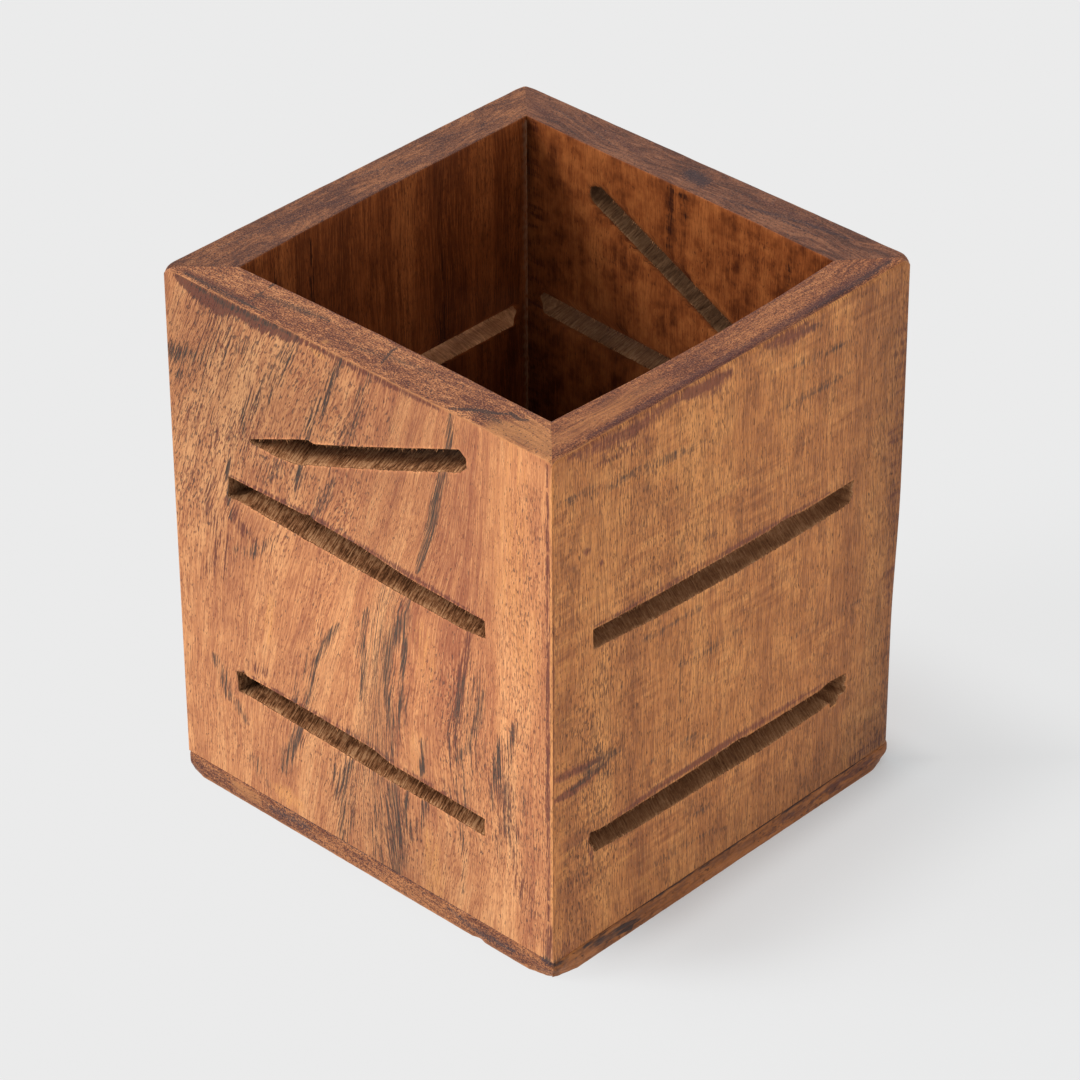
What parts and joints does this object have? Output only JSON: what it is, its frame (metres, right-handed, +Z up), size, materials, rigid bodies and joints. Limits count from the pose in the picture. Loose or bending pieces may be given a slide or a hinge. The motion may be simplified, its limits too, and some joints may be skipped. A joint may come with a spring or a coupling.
{
  "type": "pen cup",
  "caption": "Square wooden pen cup of mitred boards on a thin base board, with level and diagonal saw slots cut through its walls.",
  "frame": {"origin": "middle of the underside of the base board", "axes": "+Z up out of the cup's mouth, +X towards right_wall, -Y towards front_wall; the picture looks at the corner between those two"},
  "size_m": [0.0904, 0.089, 0.1046],
  "materials": {
    "light_wood": "oiled, satin",
    "brown_wood": "oiled, satin",
    "base_wood": "oiled, satin"
  },
  "bodies": {
    "root": {"front_wall": "light_wood", "right_wall": "brown_wood", "back_wall": "brown_wood", "left_wall": "light_wood", "base_board": "base_wood"}
  },
  "joints": []
}
